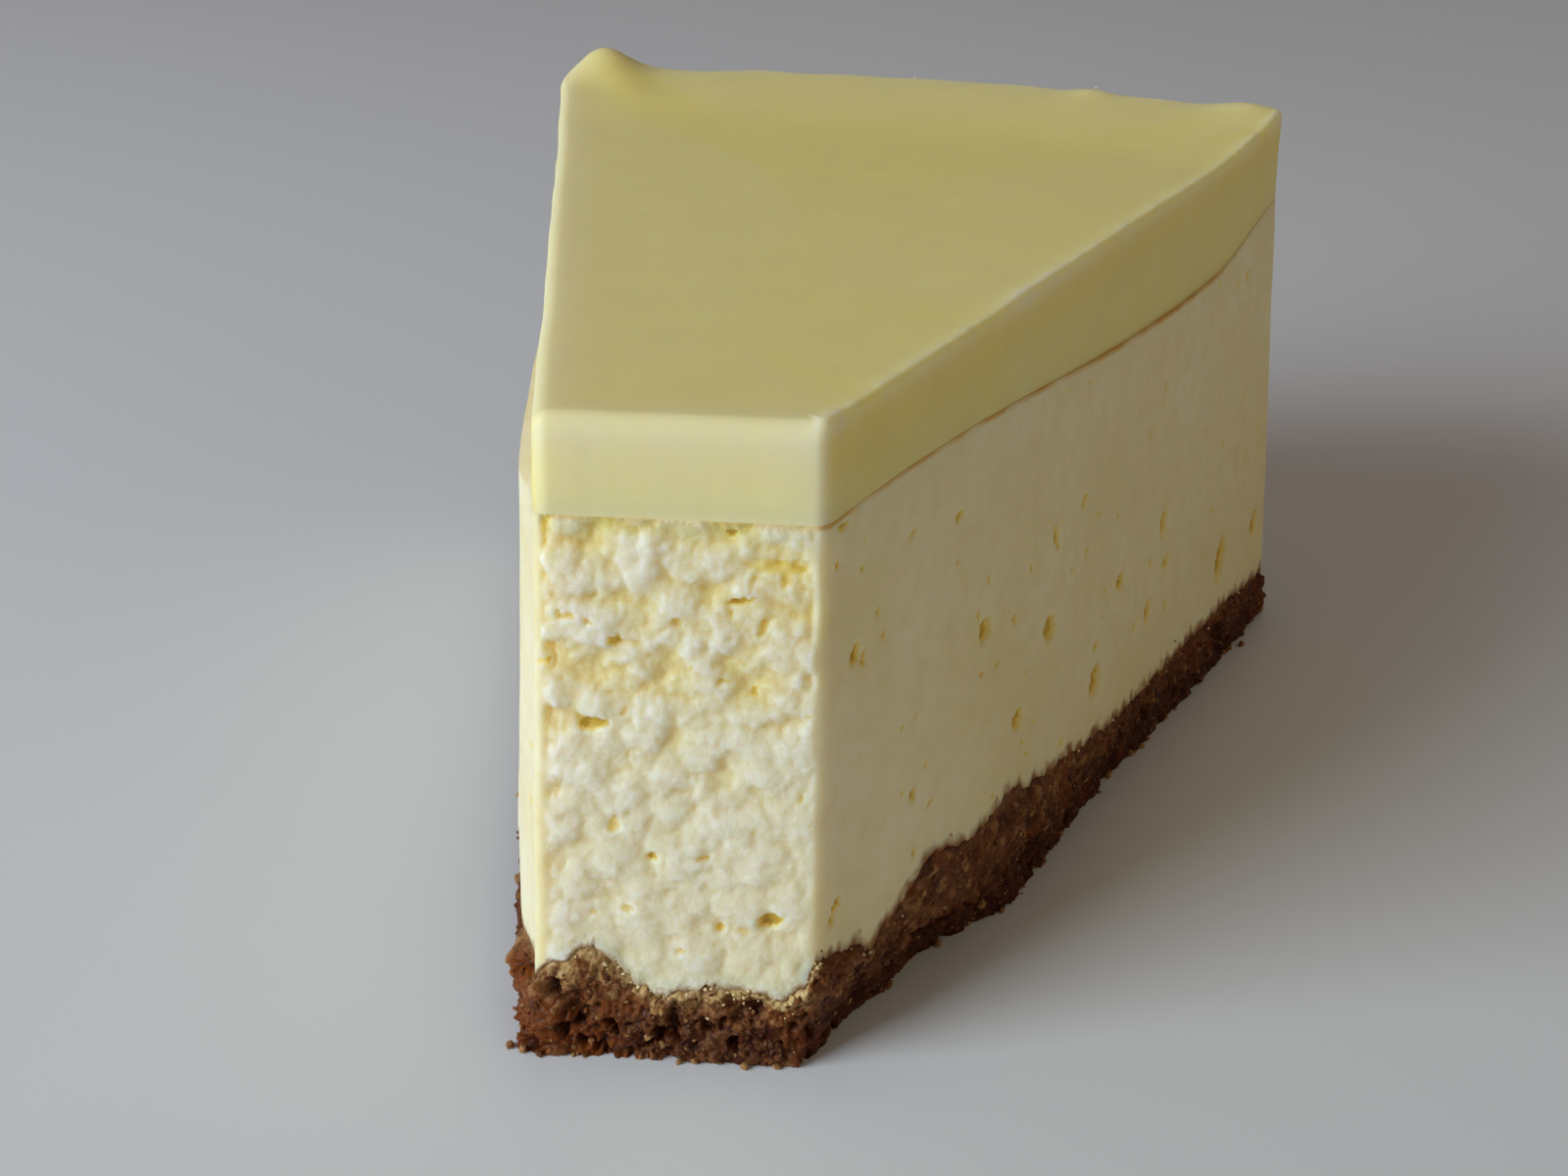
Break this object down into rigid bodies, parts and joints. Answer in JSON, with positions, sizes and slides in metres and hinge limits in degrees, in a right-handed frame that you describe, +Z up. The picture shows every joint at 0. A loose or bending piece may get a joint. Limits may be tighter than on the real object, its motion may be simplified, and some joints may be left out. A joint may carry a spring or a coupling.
{
  "type": "slice of baked cheesecake",
  "caption": "Slice of baked cheesecake with its tip taken off: crumbly biscuit base, tall pale cheese filling with small air holes, smooth set topping.",
  "frame": {"origin": "on the flat underside, on the slice's own axis, half way along its length", "axes": "+Z up; +Y along the slice from its cut-off tip to its curved back; +X to the right, seen from the tip"},
  "size_m": [0.0839, 0.1012, 0.0586],
  "materials": {
    "biscuit_base": "moist brown biscuit crumb",
    "cheese_filling": "soft pale cheese, knife-cut sides",
    "set_topping": "satin set cream"
  },
  "bodies": {
    "root": {"biscuit_base": "biscuit_base", "cheese_filling": "cheese_filling", "set_topping": "set_topping"}
  },
  "joints": []
}
